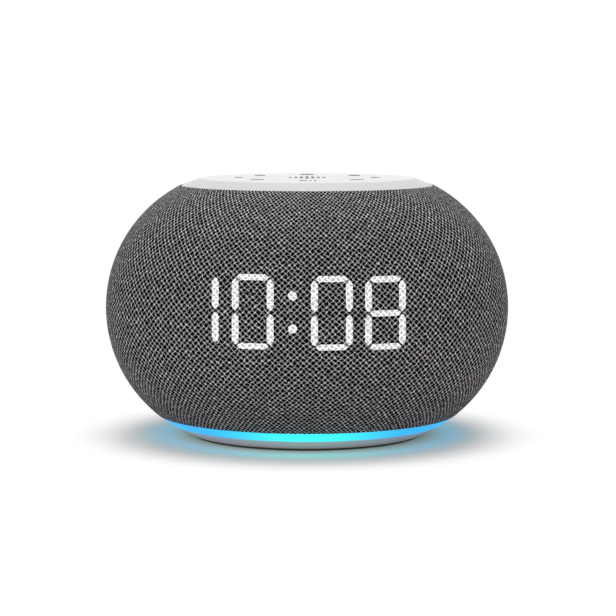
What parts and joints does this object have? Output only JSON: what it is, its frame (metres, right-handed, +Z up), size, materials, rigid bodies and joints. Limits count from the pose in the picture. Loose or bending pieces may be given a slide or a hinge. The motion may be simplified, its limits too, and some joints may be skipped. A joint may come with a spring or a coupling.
{
  "type": "talking clock",
  "caption": "Drum-shaped cloth-covered table clock with a figure display behind the cloth, a flat top of press keys, a light ring round the base and a loudspeaker.",
  "frame": {"origin": "on the surface the clock stands on, under the middle of its round body", "axes": "+Z up; the display faces -Y; +X to the right as the display is read"},
  "size_m": [0.15, 0.15, 0.096],
  "materials": {
    "cloth": "woven heather",
    "white_plastic": "satin",
    "black_plastic": "matte",
    "switch_white": "matte",
    "grey_plastic": "satin",
    "rubber": "matte",
    "light_pipe": "milky",
    "clear_ring": "frosted",
    "circuit_board": "solder mask",
    "chip": "matte",
    "led": "clear",
    "steel": "plated",
    "magnet": "plain",
    "copper": "enamelled",
    "paper": "pressed pulp",
    "woven": "resin-dipped"
  },
  "bodies": {
    "housing": {"base_pan": "grey_plastic", "base_screws": "steel", "battery_clip": "steel", "coin_cell": "steel", "colon_dots": "light_pipe", "cover_screws": "steel", "digit_half": "light_pipe", "digit_hours": "light_pipe", "digit_tens": "light_pipe", "digit_units": "light_pipe", "display_board": "circuit_board", "display_leds": "led", "display_screws": "steel", "fabric_sleeve": "cloth", "foot_ring": "rubber", "front_shell": "black_plastic", "jack_nut": "steel", "jack_pin": "steel", "key_board": "circuit_board", "key_board_screws": "steel", "light_barrier": "black_plastic", "light_ring": "clear_ring", "main_board": "circuit_board", "main_board_parts": "chip", "main_board_screws": "steel", "power_jack": "black_plastic", "rear_shell": "black_plastic", "ring_board": "circuit_board", "ring_leds": "led", "shell_screws": "steel", "speaker_basket": "black_plastic", "speaker_gasket": "woven", "speaker_magnet": "magnet", "speaker_screws": "steel", "speaker_spider": "woven", "speaker_surround": "rubber", "switch_bodies": "black_plastic", "top_cover": "white_plastic"},
    "talk_button": {"talk_key": "white_plastic", "talk_plunger": "switch_white"},
    "plus_button": {"plus_key": "white_plastic", "plus_plunger": "switch_white"},
    "timer_button": {"timer_key": "white_plastic", "timer_plunger": "switch_white"},
    "light_button": {"light_key": "white_plastic", "light_plunger": "switch_white"},
    "alarm_button": {"alarm_key": "white_plastic", "alarm_plunger": "switch_white"},
    "minus_button": {"minus_key": "white_plastic", "minus_plunger": "switch_white"},
    "previous_button": {"previous_key": "white_plastic", "previous_plunger": "switch_white"},
    "play_button": {"play_key": "white_plastic", "play_plunger": "switch_white"},
    "next_button": {"next_key": "white_plastic", "next_plunger": "switch_white"},
    "door": {"battery_door": "grey_plastic"},
    "speaker_motion": {"speaker_cone": "paper", "dust_cap": "paper", "voice_coil": "copper"}
  },
  "joints": [
    {"name": "talk_press", "type": "slide", "parent": "housing", "child": "talk_button", "axis": [0, 0, -1], "range_m": [0, 0.0005], "stiffness_N_per_m": 3000},
    {"name": "plus_press", "type": "slide", "parent": "housing", "child": "plus_button", "axis": [0, 0, -1], "range_m": [0, 0.0005], "stiffness_N_per_m": 3000},
    {"name": "timer_press", "type": "slide", "parent": "housing", "child": "timer_button", "axis": [0, 0, -1], "range_m": [0, 0.0005], "stiffness_N_per_m": 3000},
    {"name": "light_press", "type": "slide", "parent": "housing", "child": "light_button", "axis": [0, 0, -1], "range_m": [0, 0.0005], "stiffness_N_per_m": 3000},
    {"name": "alarm_press", "type": "slide", "parent": "housing", "child": "alarm_button", "axis": [0, 0, -1], "range_m": [0, 0.0005], "stiffness_N_per_m": 3000},
    {"name": "minus_press", "type": "slide", "parent": "housing", "child": "minus_button", "axis": [0, 0, -1], "range_m": [0, 0.0005], "stiffness_N_per_m": 3000},
    {"name": "previous_press", "type": "slide", "parent": "housing", "child": "previous_button", "axis": [0, 0, -1], "range_m": [0, 0.0005], "stiffness_N_per_m": 3000},
    {"name": "play_press", "type": "slide", "parent": "housing", "child": "play_button", "axis": [0, 0, -1], "range_m": [0, 0.0005], "stiffness_N_per_m": 3000},
    {"name": "next_press", "type": "slide", "parent": "housing", "child": "next_button", "axis": [0, 0, -1], "range_m": [0, 0.0005], "stiffness_N_per_m": 3000},
    {"name": "door_turn", "type": "hinge", "parent": "housing", "child": "door", "pos_m": [0, 0, 0.002], "axis": [0, 0, -1], "range_deg": [0, 40]},
    {"name": "speaker_stroke", "type": "slide", "parent": "housing", "child": "speaker_motion", "axis": [0, 1, 0], "range_m": [-0.001, 0.001], "stiffness_N_per_m": 1500, "deforming": ["speaker_surround", "speaker_spider"]}
  ]
}
